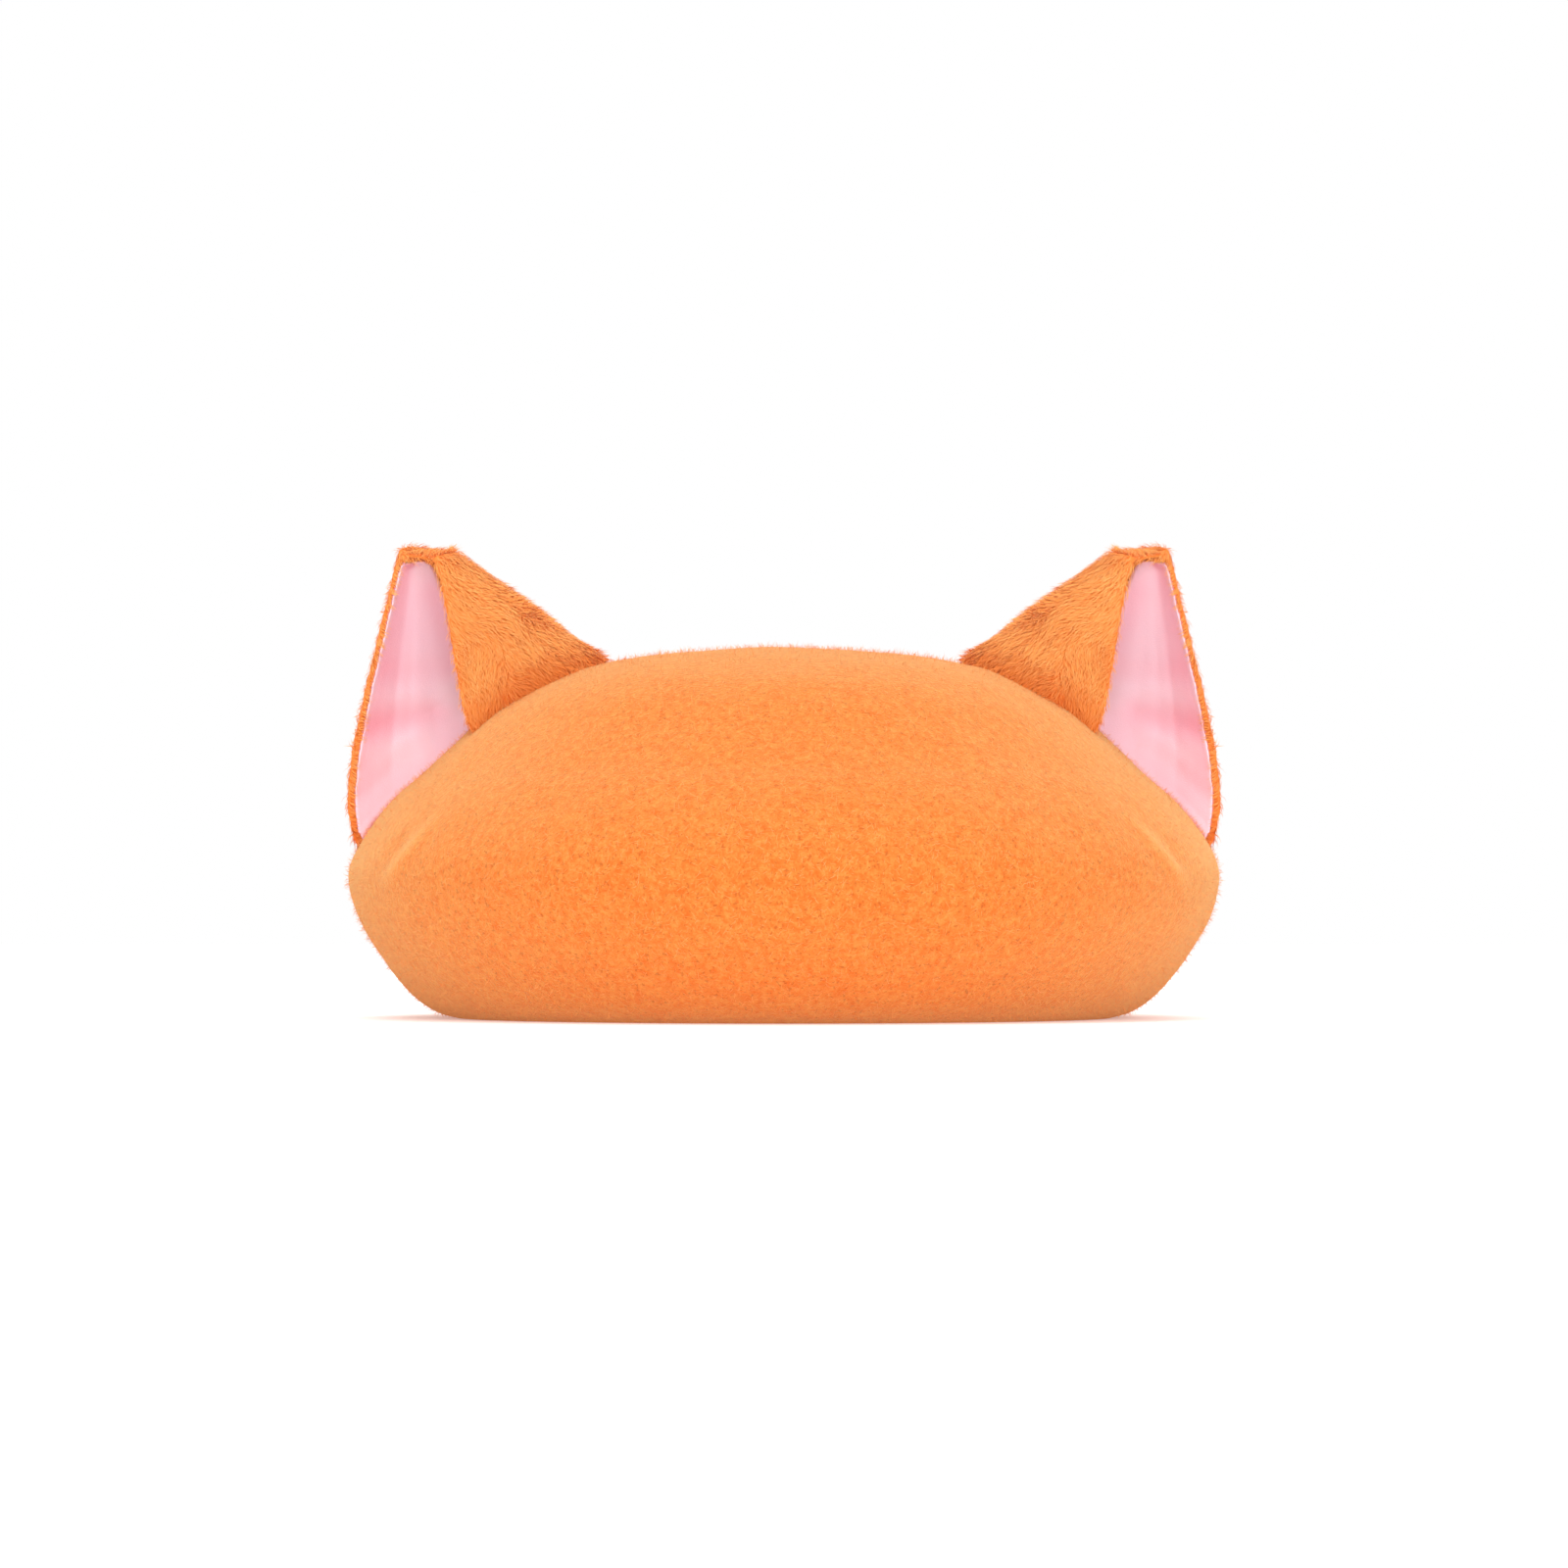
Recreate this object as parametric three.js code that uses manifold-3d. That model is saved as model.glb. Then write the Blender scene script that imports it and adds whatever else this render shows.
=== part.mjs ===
// Cat-ear beret: a felt crown with an open rim, and two folded plush ears with a smooth lining.
// Millimetres, +Z up, the front faces -Y. The hat rests on its rim on the plane Z = 0,
// and the origin is on that plane, under the middle of the head opening.

import * as THREE from 'three';
import { ConvexGeometry } from 'three/addons/geometries/ConvexGeometry.js';
import * as BufferGeometryUtils from 'three/addons/utils/BufferGeometryUtils.js';
import Module from 'manifold-3d';

const wasm = await Module();
wasm.setup();

// Crown
const openingRadius = 92; // edge of the hole for the head
const restWidth = 11.7; // flat ring of felt that lies on the surface, outside that edge
const crownRadius = 138; // widest reach
const widestHeight = 42; // height of the widest reach
const crownHeight = 117; // top of the dome
const feltThickness = 2.6;

// Ears
const earHeight = 54; // from the felt under the ear's middle to the tip
const earOutShare = 0.6957; // middle of the ear's base, out from the hat's middle plane, per crownRadius
const earBackShare = -0.087; // the same, from the hat's left-right line, forward is minus
const earPlaceOut = crownRadius * earOutShare;
const earPlaceBack = crownRadius * earBackShare;
const furThickness = 3;
const liningThickness = 1.4;
const liningInset = 2.6; // plush left bare beside the lining, at the felt
const tipTurnOver = 4.6; // plush that closes the tip over the lining
const earRoot = 9; // length of ear made below the felt, before the felt's shape is cut away
const layerGap = 0.3; // clearance between neighbouring pieces
const mergeWithin = 1e-4; // corners nearer than this are one corner
const slopeStep = 1e-3; // share over which the ear's face is measured for its direction

// Fineness of the faceted surfaces
const crownSegments = 80;
const undersideSteps = 8;
const domeSteps = 18;
const insideShare = 2; // the inside has one step for this many outside
const segmentDrift = 0.4; // how far the segments gather towards the ears
const earColumns = 18;
const earRows = 10;

// Underside of the crown, from the rest ring to the widest reach. out is a share of the way out
// from the ring's outer edge, up is a share of widestHeight.
const undersideSections = [
  { out: 0.2, up: 0.05 },
  { out: 0.42, up: 0.18 },
  { out: 0.68, up: 0.44 },
  { out: 0.9, up: 0.73 },
  { out: 1.0, up: 1.0 },
];

// Dome, from the widest reach to the middle. reach is a share of crownRadius, rise is a share of the
// height from the widest reach to the top.
const domeSections = [
  { reach: 0.993, rise: 0.11 },
  { reach: 0.951, rise: 0.244 },
  { reach: 0.895, rise: 0.363 },
  { reach: 0.835, rise: 0.46 },
  { reach: 0.758, rise: 0.6 },
  { reach: 0.68, rise: 0.735 },
  { reach: 0.587, rise: 0.84 },
  { reach: 0.458, rise: 0.918 },
  { reach: 0.27, rise: 0.973 },
  { reach: 0.0, rise: 1.0 },
];

// Soft folds of the felt, the same on both sides. Ends are shares of crownRadius (out, back) and of
// crownHeight (up). across and rise are shares of feltThickness, and a valley's rise is minus.
const softFolds = [
  { name: 'ridge', out1: 0.81, back1: -0.5, up1: 0.6, out2: 0.93, back2: -0.34, up2: 0.47,
    across: 2.6, rise: 0.5 },
  { name: 'valley', out1: 0.85, back1: -0.38, up1: 0.65, out2: 0.96, back2: -0.2, up2: 0.49,
    across: 2.8, rise: -0.5 },
  { name: 'earPull', out1: 0.42, back1: -0.24, up1: 0.93, out2: 0.7, back2: -0.33, up2: 0.8,
    across: 3.2, rise: -0.45 },
];

// Upright lines of an ear's outer face, in order round its folded wall. Feet are shares of crownRadius
// from the ear's middle, tips are shares of earHeight from the same place. out runs away from the hat's
// middle plane, back runs to +Y, and bows are shares of earHeight.
const earLines = [
  { name: 'frontEdge', footOut: 0.01, footBack: -0.175, tipOut: 0.25, tipBack: -0.22, tipUp: 0.96,
    bowOut: 0.03, bowBack: -0.02 },
  { name: 'flap', footOut: -0.15, footBack: -0.165, tipOut: 0.19, tipBack: -0.145, tipUp: 0.98,
    bowOut: 0.0, bowBack: -0.05 },
  { name: 'fold', footOut: -0.31, footBack: -0.04, tipOut: 0.15, tipBack: -0.03, tipUp: 1.0,
    bowOut: 0.025, bowBack: 0.0 },
  { name: 'backInner', footOut: -0.2, footBack: 0.09, tipOut: 0.2, tipBack: 0.08, tipUp: 1.01,
    bowOut: -0.02, bowBack: 0.06 },
  { name: 'backWall', footOut: -0.01, footBack: 0.14, tipOut: 0.31, tipBack: 0.12, tipUp: 1.03,
    bowOut: 0.0, bowBack: 0.1 },
  { name: 'outerWall', footOut: 0.16, footBack: 0.12, tipOut: 0.42, tipBack: 0.1, tipUp: 1.04,
    bowOut: 0.07, bowBack: 0.07 },
  { name: 'outerEdge', footOut: 0.282, footBack: 0.03, tipOut: 0.5, tipBack: 0.01, tipUp: 1.02,
    bowOut: 0.135, bowBack: 0.02 },
];
const bowSkew = 0.5; // exponent below one moves a bow's fullest place towards the foot

// Soft curve of the crown's outer outline through its sections, as radius and height, from the rest
// ring's outer edge to the axis. The last section is mirrored past the axis, so the curve is level there.
function outlineCurve() {
  const ringRadius = openingRadius + restWidth;
  const points = [new THREE.Vector2(ringRadius, 0)];
  for (const section of undersideSections) {
    points.push(new THREE.Vector2(
      ringRadius + (crownRadius - ringRadius) * section.out,
      widestHeight * section.up,
    ));
  }
  for (const section of domeSections) {
    points.push(new THREE.Vector2(
      crownRadius * section.reach,
      widestHeight + (crownHeight - widestHeight) * section.rise,
    ));
  }
  const beforeTop = points[points.length - 2];
  points.push(new THREE.Vector2(-beforeTop.x, beforeTop.y));
  return new THREE.SplineCurve(points);
}

// Outer outline as points from the rim's edge to the top. The sections set how it is stepped.
function steppedOutline() {
  const curve = outlineCurve();
  const spans = curve.points.length - 1;
  const underSpans = undersideSections.length;
  const domeSpans = domeSections.length;
  const points = [new THREE.Vector2(openingRadius, 0)];
  for (let i = 0; i < undersideSteps; i += 1) {
    points.push(curve.getPoint((i / undersideSteps) * (underSpans / spans)));
  }
  for (let i = 0; i <= domeSteps; i += 1) {
    points.push(curve.getPoint((underSpans + (i / domeSteps) * domeSpans) / spans));
  }
  points[points.length - 1].x = 0;
  return points;
}

// A copy of an outline, moved to the inside by a distance. Its ends stay on the rim's edge and the axis.
function movedOutline(points, distance) {
  return points.map((point, i) => {
    if (i === 0) return new THREE.Vector2(point.x, point.y + distance);
    if (i === points.length - 1) return new THREE.Vector2(0, point.y - distance);
    const run = points[i + 1].clone().sub(points[i - 1]).normalize();
    return new THREE.Vector2(point.x - run.y * distance, point.y + run.x * distance);
  });
}

const crownOutline = steppedOutline();

// How far the folds lift the felt at a place.
function foldRise(place) {
  const here = new THREE.Vector3(Math.abs(place.x), place.y, place.z);
  let rise = 0;
  const size = new THREE.Vector3(crownRadius, crownRadius, crownHeight);
  for (const fold of softFolds) {
    const start = new THREE.Vector3(fold.out1, fold.back1, fold.up1).multiply(size);
    const end = new THREE.Vector3(fold.out2, fold.back2, fold.up2).multiply(size);
    const nearest = new THREE.Line3(start, end).closestPointToPoint(here, true, new THREE.Vector3());
    const width = fold.across * feltThickness;
    rise += fold.rise * feltThickness * Math.exp(-nearest.distanceToSquared(here) / (width * width));
  }
  return rise;
}

// A body turned from an outline that starts and ends on the axis, with the soft folds pressed in.
function turnedFelt(outline) {
  const geometry = new THREE.LatheGeometry(outline, crownSegments).rotateX(Math.PI / 2);
  const heart = new THREE.Vector3(0, 0, widestHeight);
  const place = new THREE.Vector3();
  const position = geometry.getAttribute('position');
  for (let i = 0; i < position.count; i += 1) {
    place.fromBufferAttribute(position, i);
    const radius = Math.hypot(place.x, place.y);
    const turn = Math.atan2(place.y, place.x);
    const gathered = turn - (segmentDrift / 2) * Math.sin(2 * turn);
    place.set(radius * Math.cos(gathered), radius * Math.sin(gathered), place.z);
    const outward = place.clone().sub(heart).normalize();
    place.addScaledVector(outward, foldRise(place));
    position.setXYZ(i, place.x, place.y, place.z);
  }
  return geometry;
}

// The crown's hollow body. Its inside keeps only some of the outline's points.
function crownGeometry() {
  const inner = movedOutline(crownOutline, feltThickness);
  const last = inner.length - 1;
  const inside = inner.filter((point, i) => i < 2 || i === last || (last - i) % insideShare === 0);
  return turnedFelt([...inside.reverse(), ...crownOutline]);
}

// The crown's filled outer shape, grown by the clearance. It is cut away from the ears.
function crownCutter() {
  const grown = movedOutline(crownOutline, -layerGap);
  return toSolid(turnedFelt([new THREE.Vector2(0, grown[0].y), ...grown]));
}

// A closed geometry as a solid for joining and cutting.
function toSolid(geometry) {
  const bare = geometry.clone();
  bare.deleteAttribute('normal');
  bare.deleteAttribute('uv');
  const merged = BufferGeometryUtils.mergeVertices(bare, mergeWithin);
  const index = merged.getIndex().array;
  const triangles = [];
  for (let i = 0; i < index.length; i += 3) {
    const [a, b, c] = [index[i], index[i + 1], index[i + 2]];
    if (a !== b && b !== c && c !== a) triangles.push(a, b, c);
  }
  return new wasm.Manifold(new wasm.Mesh({
    numProp: 3,
    vertProperties: new Float32Array(merged.getAttribute('position').array),
    triVerts: new Uint32Array(triangles),
  }));
}

// A solid back as a geometry.
function toGeometry(solid) {
  const mesh = solid.getMesh();
  const geometry = new THREE.BufferGeometry();
  geometry.setAttribute('position', new THREE.BufferAttribute(new Float32Array(mesh.vertProperties), 3));
  geometry.setIndex(new THREE.BufferAttribute(new Uint32Array(mesh.triVerts), 1));
  geometry.computeVertexNormals();
  return geometry;
}

// Height of the plain dome over a place seen from above.
function domeHeightAt(out, back) {
  const radius = Math.hypot(out, back);
  const nearTop = crownOutline.findLastIndex((point) => point.x >= radius);
  const far = crownOutline[nearTop];
  const near = crownOutline[nearTop + 1];
  return THREE.MathUtils.mapLinear(radius, near.x, far.x, near.y, far.y);
}

// A place on one upright line of the left ear. The height share runs from 0 at the felt to 1 at the
// tip, and below 0 the line goes on straight into the felt.
function linePoint(line, share) {
  const footOut = earPlaceOut + crownRadius * line.footOut;
  const footBack = earPlaceBack + crownRadius * line.footBack;
  const foot = new THREE.Vector3(-footOut, footBack, domeHeightAt(footOut, footBack));
  const tip = new THREE.Vector3(
    -(earPlaceOut + earHeight * line.tipOut),
    earPlaceBack + earHeight * line.tipBack,
    domeHeightAt(earPlaceOut, earPlaceBack) + earHeight * line.tipUp,
  );
  const bow = earHeight * Math.sin(Math.PI * Math.pow(Math.max(share, 0), bowSkew));
  const point = foot.lerp(tip, share);
  point.x -= bow * line.bowOut;
  point.y += bow * line.bowBack;
  return point;
}

// One row of the ear's outer face, a curve through its upright lines at one height.
function earRow(share) {
  return new THREE.CatmullRomCurve3(earLines.map((line) => linePoint(line, share)));
}

// The ear's outer face: a place and the direction into the fold, for shares round the wall and up it.
function earFace(around, up) {
  const row = earRow(up);
  const place = row.getPoint(around);
  const after = Math.min(around + slopeStep, 1);
  const before = Math.max(around - slopeStep, 0);
  const across = row.getPoint(after).sub(row.getPoint(before));
  const rise = earRow(up + slopeStep).getPoint(around).sub(earRow(up - slopeStep).getPoint(around));
  const inward = rise.cross(across).normalize();
  return { place, inward };
}

// A closed wall between two depths behind the ear's outer face. around and up list its grid lines.
function earWall(around, up, nearDepth, farDepth) {
  const positions = [];
  for (const depth of [nearDepth, farDepth]) {
    for (const rowShare of up) {
      for (const columnShare of around) {
        const { place, inward } = earFace(columnShare, rowShare);
        positions.push(...place.addScaledVector(inward, depth).toArray());
      }
    }
  }
  const columns = around.length;
  const rows = up.length;
  const at = (layer, row, column) => (layer * rows + row) * columns + column;
  const index = [];
  const face = (a, b, c, d) => index.push(a, b, c, a, c, d);
  for (let row = 0; row + 1 < rows; row += 1) {
    for (let column = 0; column + 1 < columns; column += 1) {
      face(at(0, row, column), at(0, row, column + 1), at(0, row + 1, column + 1), at(0, row + 1, column));
      face(at(1, row, column), at(1, row + 1, column), at(1, row + 1, column + 1), at(1, row, column + 1));
    }
  }
  const top = rows - 1;
  const end = columns - 1;
  for (let column = 0; column < end; column += 1) {
    face(at(0, 0, column), at(1, 0, column), at(1, 0, column + 1), at(0, 0, column + 1));
    face(at(0, top, column), at(0, top, column + 1), at(1, top, column + 1), at(1, top, column));
  }
  for (let row = 0; row < top; row += 1) {
    face(at(0, row, 0), at(0, row + 1, 0), at(1, row + 1, 0), at(1, row, 0));
    face(at(0, row, end), at(1, row, end), at(1, row + 1, end), at(0, row + 1, end));
  }
  const geometry = new THREE.BufferGeometry();
  geometry.setAttribute('position', new THREE.Float32BufferAttribute(positions, 3));
  geometry.setIndex(index);
  return toSolid(geometry);
}

// Evenly spaced shares from one value to another.
function evenShares(from, to, steps) {
  return Array.from({ length: steps + 1 }, (unused, i) => from + ((to - from) * i) / steps);
}

// The plush that closes an ear's tip between two height shares, out to the middle of the wall.
function tipCap(fromShare, toShare) {
  const points = [];
  for (const up of [fromShare, toShare]) {
    for (const around of evenShares(0, 1, earColumns)) {
      const { place, inward } = earFace(around, up);
      points.push(place.addScaledVector(inward, furThickness / 2));
    }
  }
  return toSolid(new ConvexGeometry(points));
}

// Both layers of the left ear.
function earLayers() {
  const outerLine = earLines[earLines.length - 1];
  const length = linePoint(outerLine, 0).distanceTo(linePoint(outerLine, 1));
  const bottomShare = -earRoot / length;
  const capBottom = 1 - tipTurnOver / length;
  const capTop = 1 - furThickness / 2 / length;
  const liningTop = capBottom - layerGap / length;
  const insetShare = liningInset / earRow(0).getLength();
  const crown = crownCutter();
  const furWall = earWall(
    evenShares(0, 1, earColumns),
    evenShares(bottomShare, 1, earRows),
    0,
    furThickness,
  );
  const liningNear = furThickness + layerGap;
  const liningWall = earWall(
    evenShares(insetShare, 1 - insetShare, earColumns),
    evenShares(bottomShare, capTop, earRows),
    liningNear,
    liningNear + liningThickness,
  );
  return {
    fur: furWall.add(tipCap(capBottom, capTop)).subtract(crown),
    lining: liningWall.subtract(tipCap(liningTop, 1)).subtract(crown),
  };
}

// One named piece.
function piece(name, geometry, colour, roughness) {
  const material = new THREE.MeshStandardMaterial({ color: colour, roughness, metalness: 0 });
  const mesh = new THREE.Mesh(geometry, material);
  mesh.name = name;
  return mesh;
}

const feltColour = 0xfb9a4c;
const furColour = 0xee8f4a;
const liningColour = 0xfdbac6;
const feltRoughness = 0.95;
const furRoughness = 0.9;
const liningRoughness = 0.8;

const group = new THREE.Group();
group.add(piece('crown', crownGeometry(), feltColour, feltRoughness));

const layers = earLayers();
const acrossTheHat = [1, 0, 0];
group.add(piece('left_ear_fur', toGeometry(layers.fur), furColour, furRoughness));
group.add(piece('left_ear_lining', toGeometry(layers.lining), liningColour, liningRoughness));
group.add(piece('right_ear_fur', toGeometry(layers.fur.mirror(acrossTheHat)), furColour, furRoughness));
group.add(piece(
  'right_ear_lining',
  toGeometry(layers.lining.mirror(acrossTheHat)),
  liningColour,
  liningRoughness,
));

export default group;
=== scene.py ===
import math

import bpy
import numpy as np
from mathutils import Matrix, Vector, noise
from mathutils.bvhtree import BVHTree


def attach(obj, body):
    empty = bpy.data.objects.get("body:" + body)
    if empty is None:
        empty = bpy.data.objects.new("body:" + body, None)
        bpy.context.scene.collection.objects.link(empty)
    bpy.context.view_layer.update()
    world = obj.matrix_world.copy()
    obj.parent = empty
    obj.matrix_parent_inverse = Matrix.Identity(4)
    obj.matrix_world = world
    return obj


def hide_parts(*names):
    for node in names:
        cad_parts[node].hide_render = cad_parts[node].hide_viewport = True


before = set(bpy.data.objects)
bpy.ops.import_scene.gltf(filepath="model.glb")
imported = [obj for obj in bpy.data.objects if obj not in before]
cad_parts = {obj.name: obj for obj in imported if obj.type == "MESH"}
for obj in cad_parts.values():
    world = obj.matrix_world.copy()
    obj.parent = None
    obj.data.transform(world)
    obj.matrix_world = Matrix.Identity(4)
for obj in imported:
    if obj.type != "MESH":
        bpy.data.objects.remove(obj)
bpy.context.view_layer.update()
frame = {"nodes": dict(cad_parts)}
print("frame loaded:", ", ".join(frame["nodes"]))


def makeActive(piece):
    if bpy.context.object and bpy.context.object.mode != "OBJECT":
        bpy.ops.object.mode_set(mode="OBJECT")
    bpy.ops.object.select_all(action="DESELECT")
    piece.select_set(True)
    bpy.context.view_layer.objects.active = piece


def applyModifiers(piece):
    makeActive(piece)
    for modifier in list(piece.modifiers):
        bpy.ops.object.modifier_apply(modifier=modifier.name)


def readPoints(mesh, what="co"):
    values = np.empty(len(mesh.vertices) * 3, dtype=np.float32)
    mesh.vertices.foreach_get(what, values)
    return values.reshape(-1, 3).astype(float)


def pointsAndNormals(piece):
    return readPoints(piece.data), readPoints(piece.data, "normal")


def treeOf(piece):
    return BVHTree.FromObject(piece, bpy.context.evaluated_depsgraph_get())


def writePoints(mesh, points):
    mesh.vertices.foreach_set("co", points.astype(np.float32).ravel())
    mesh.update()


def keepValues(mesh, name, values):
    kind = "FLOAT" if values.ndim == 1 else "FLOAT_VECTOR"
    attribute = mesh.attributes.new(name, kind, "POINT")
    attribute.data.foreach_set("value" if kind == "FLOAT" else "vector", values.astype(np.float32).ravel())


def unit(vectors):
    return vectors / np.maximum(np.linalg.norm(vectors, axis=1, keepdims=True), 1e-9)


def noiseAt(points, size, seed):
    shift = Vector((seed * 7.3, seed * 3.1, seed * 5.7))
    return np.array([noise.noise(Vector(point) / size + shift) for point in points])


def softStep(values, low, high):
    share = np.clip((values - low) / (high - low), 0, 1)
    return share * share * (3 - 2 * share)


def copyOfNode(node, name):
    piece = bpy.data.objects.new(name, frame["nodes"][node].data.copy())
    piece.data.name = name
    bpy.context.scene.collection.objects.link(piece)
    piece.data.materials.clear()
    makeActive(piece)
    bpy.ops.object.mode_set(mode="EDIT")
    bpy.ops.mesh.select_all(action="SELECT")
    bpy.ops.mesh.remove_doubles(threshold=1e-6)
    bpy.ops.object.mode_set(mode="OBJECT")
    return piece


def mirroredCopy(piece, name):
    twin = bpy.data.objects.new(name, piece.data.copy())
    twin.data.name = name
    bpy.context.scene.collection.objects.link(twin)
    makeActive(twin)
    bpy.ops.object.mode_set(mode="EDIT")
    bpy.ops.mesh.select_all(action="SELECT")
    bpy.ops.transform.resize(value=(-1, 1, 1), center_override=(0, 0, 0))
    bpy.ops.mesh.flip_normals()
    bpy.ops.object.mode_set(mode="OBJECT")
    return twin


studio = {
    "cameraPlace": (0, -1.343, 0.024),   # the photo's straight front view, kept above the floor
    "cameraAim": (0, 0, 0.0743),
    "lens": 96.75, "sensorWidth": 36,
    "floorSize": 60,
    "floorColour": (0.9, 0.9, 0.9, 1),
    "floorGlow": 0.3, "floorRoughness": 0.9,
    "skyLight": 0.42, "seenLight": 1.0,   # the sky as light, and as the camera sees it
    "skyColour": (1, 1, 1, 1),
    "ceilingPower": 1.9, "ceilingSpread": 55,   # soft light from right above, spread in degrees
    "keyPlace": (-0.5, -0.9, 1.3), "keySize": 1.0, "keyPower": 4.5,
    "fillPlace": (0.3, -2.2, 0.45), "fillSize": 1.6, "fillPower": 30,
    "backPlace": (0.3, 1.6, 0.8), "backSize": 1.4, "backPower": 13,
}


def aimed(place, aim):
    return (Vector(aim) - Vector(place)).to_track_quat("-Z", "Y").to_euler()


def addLight(name, place, size, power):
    bpy.ops.object.light_add(type="AREA", location=place, rotation=aimed(place, studio["cameraAim"]))
    light = bpy.context.object
    light.name = name
    light.data.size = size
    light.data.energy = power


scene = bpy.context.scene
bpy.ops.object.select_all(action="DESELECT")
bpy.ops.object.camera_add(location=studio["cameraPlace"],
                          rotation=aimed(studio["cameraPlace"], studio["cameraAim"]))
scene.camera = bpy.context.object
scene.camera.data.lens = studio["lens"]
scene.camera.data.sensor_width = studio["sensorWidth"]
for lamp in ("key", "fill", "back"):
    addLight(lamp + "Light", studio[lamp + "Place"], studio[lamp + "Size"], studio[lamp + "Power"])
bpy.ops.object.light_add(type="SUN", location=(0, 0, 2))
bpy.context.object.name = "ceilingLight"
bpy.context.object.data.energy = studio["ceilingPower"]
bpy.context.object.data.angle = math.radians(studio["ceilingSpread"])
scene.view_settings.view_transform = "Standard"

bpy.ops.mesh.primitive_plane_add(size=studio["floorSize"])
floor = bpy.context.object
floor.name = "floor"
floorPaint = bpy.data.materials.new("palePaper")
floorPaint.use_nodes = True
floorShade = floorPaint.node_tree.nodes["Principled BSDF"]
floorShade.inputs["Base Color"].default_value = studio["floorColour"]
floorShade.inputs["Roughness"].default_value = studio["floorRoughness"]
floorShade.inputs["Emission Color"].default_value = (1, 1, 1, 1)
floorShade.inputs["Emission Strength"].default_value = studio["floorGlow"]
floor.data.materials.append(floorPaint)

world = bpy.data.worlds.new("studio")
scene.world = world
world.use_nodes = True
sky = world.node_tree
skyShade = sky.nodes["Background"]
skyShade.inputs["Color"].default_value = studio["skyColour"]
skyShade.inputs["Strength"].default_value = studio["skyLight"]
seenShade = sky.nodes.new("ShaderNodeBackground")   # what the camera sees behind the hat
seenShade.inputs["Color"].default_value = studio["skyColour"]
seenShade.inputs["Strength"].default_value = studio["seenLight"]
rayKind = sky.nodes.new("ShaderNodeLightPath")
skyMix = sky.nodes.new("ShaderNodeMixShader")
sky.links.new(rayKind.outputs["Is Camera Ray"], skyMix.inputs[0])
sky.links.new(skyShade.outputs[0], skyMix.inputs[1])
sky.links.new(seenShade.outputs[0], skyMix.inputs[2])
sky.links.new(skyMix.outputs[0], sky.nodes["World Output"].inputs["Surface"])
print("studio ready")


mottleInputs = ("Broad Size", "Tuft Size", "Fibre Size", "Fleck Size", "Fleck Share")


def woolMottle():
    group = bpy.data.node_groups.new("softMottle", "ShaderNodeTree")
    for name in mottleInputs:
        group.interface.new_socket(name=name, in_out="INPUT", socket_type="NodeSocketFloat")
    for name in ("Broad", "Tuft", "Fibre", "Fleck", "Height"):
        group.interface.new_socket(name=name, in_out="OUTPUT", socket_type="NodeSocketFloat")
    nodes, links = group.nodes, group.links
    start = nodes.new("NodeGroupInput")
    end = nodes.new("NodeGroupOutput")
    place = nodes.new("ShaderNodeTexCoord")
    masks = {}
    for mask, detail, rough in (("Broad", 2.0, 0.5), ("Tuft", 3.0, 0.6), ("Fibre", 3.0, 0.65)):
        cloud = nodes.new("ShaderNodeTexNoise")
        cloud.inputs["Detail"].default_value = detail
        cloud.inputs["Roughness"].default_value = rough
        links.new(place.outputs["Object"], cloud.inputs["Vector"])
        links.new(start.outputs[mask + " Size"], cloud.inputs["Scale"])
        spread = nodes.new("ShaderNodeMapRange")   # noise stays near the middle, so it is spread out
        spread.inputs["From Min"].default_value = 0.3
        spread.inputs["From Max"].default_value = 0.7
        links.new(cloud.outputs["Fac"], spread.inputs["Value"])
        links.new(spread.outputs["Result"], end.inputs[mask])
        masks[mask] = spread
    cells = nodes.new("ShaderNodeTexNoise")
    cells.inputs["Detail"].default_value = 1.5
    links.new(place.outputs["Object"], cells.inputs["Vector"])
    links.new(start.outputs["Fleck Size"], cells.inputs["Scale"])
    rare = nodes.new("ShaderNodeMapRange")
    rare.interpolation_type = "SMOOTHSTEP"
    rare.inputs["To Min"].default_value = 1.0
    rare.inputs["To Max"].default_value = 0.0
    wider = nodes.new("ShaderNodeMath")
    wider.operation = "ADD"
    wider.inputs[1].default_value = 0.09   # how softly a fleck fades out
    links.new(start.outputs["Fleck Share"], wider.inputs[0])
    links.new(start.outputs["Fleck Share"], rare.inputs["From Min"])
    links.new(wider.outputs[0], rare.inputs["From Max"])
    links.new(cells.outputs["Fac"], rare.inputs["Value"])
    links.new(rare.outputs["Result"], end.inputs["Fleck"])
    height = nodes.new("ShaderNodeMath")
    height.operation = "MULTIPLY_ADD"
    height.inputs[1].default_value = 0.45   # tufts stand lower than fibres
    links.new(masks["Tuft"].outputs["Result"], height.inputs[0])
    links.new(masks["Fibre"].outputs["Result"], height.inputs[2])
    links.new(height.outputs[0], end.inputs["Height"])
    return group


mottleGroup = woolMottle()


def newFinish(name, look):
    material = bpy.data.materials.new(name)
    material.use_nodes = True
    shader = material.node_tree.nodes["Principled BSDF"]
    shader.inputs["Roughness"].default_value = look["roughness"]
    shader.inputs["Specular IOR Level"].default_value = 0.12   # cloth hardly shines
    shader.inputs["Sheen Weight"].default_value = look["sheen"]
    shader.inputs["Sheen Roughness"].default_value = look["sheenRoughness"]
    shader.inputs["Sheen Tint"].default_value = (*look["sheenTint"], 1)
    return material, shader


def addMottle(material, values):
    mottle = material.node_tree.nodes.new("ShaderNodeGroup")
    mottle.node_tree = mottleGroup
    for name, value in zip(mottleInputs, values):
        mottle.inputs[name].default_value = value
    return mottle


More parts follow.
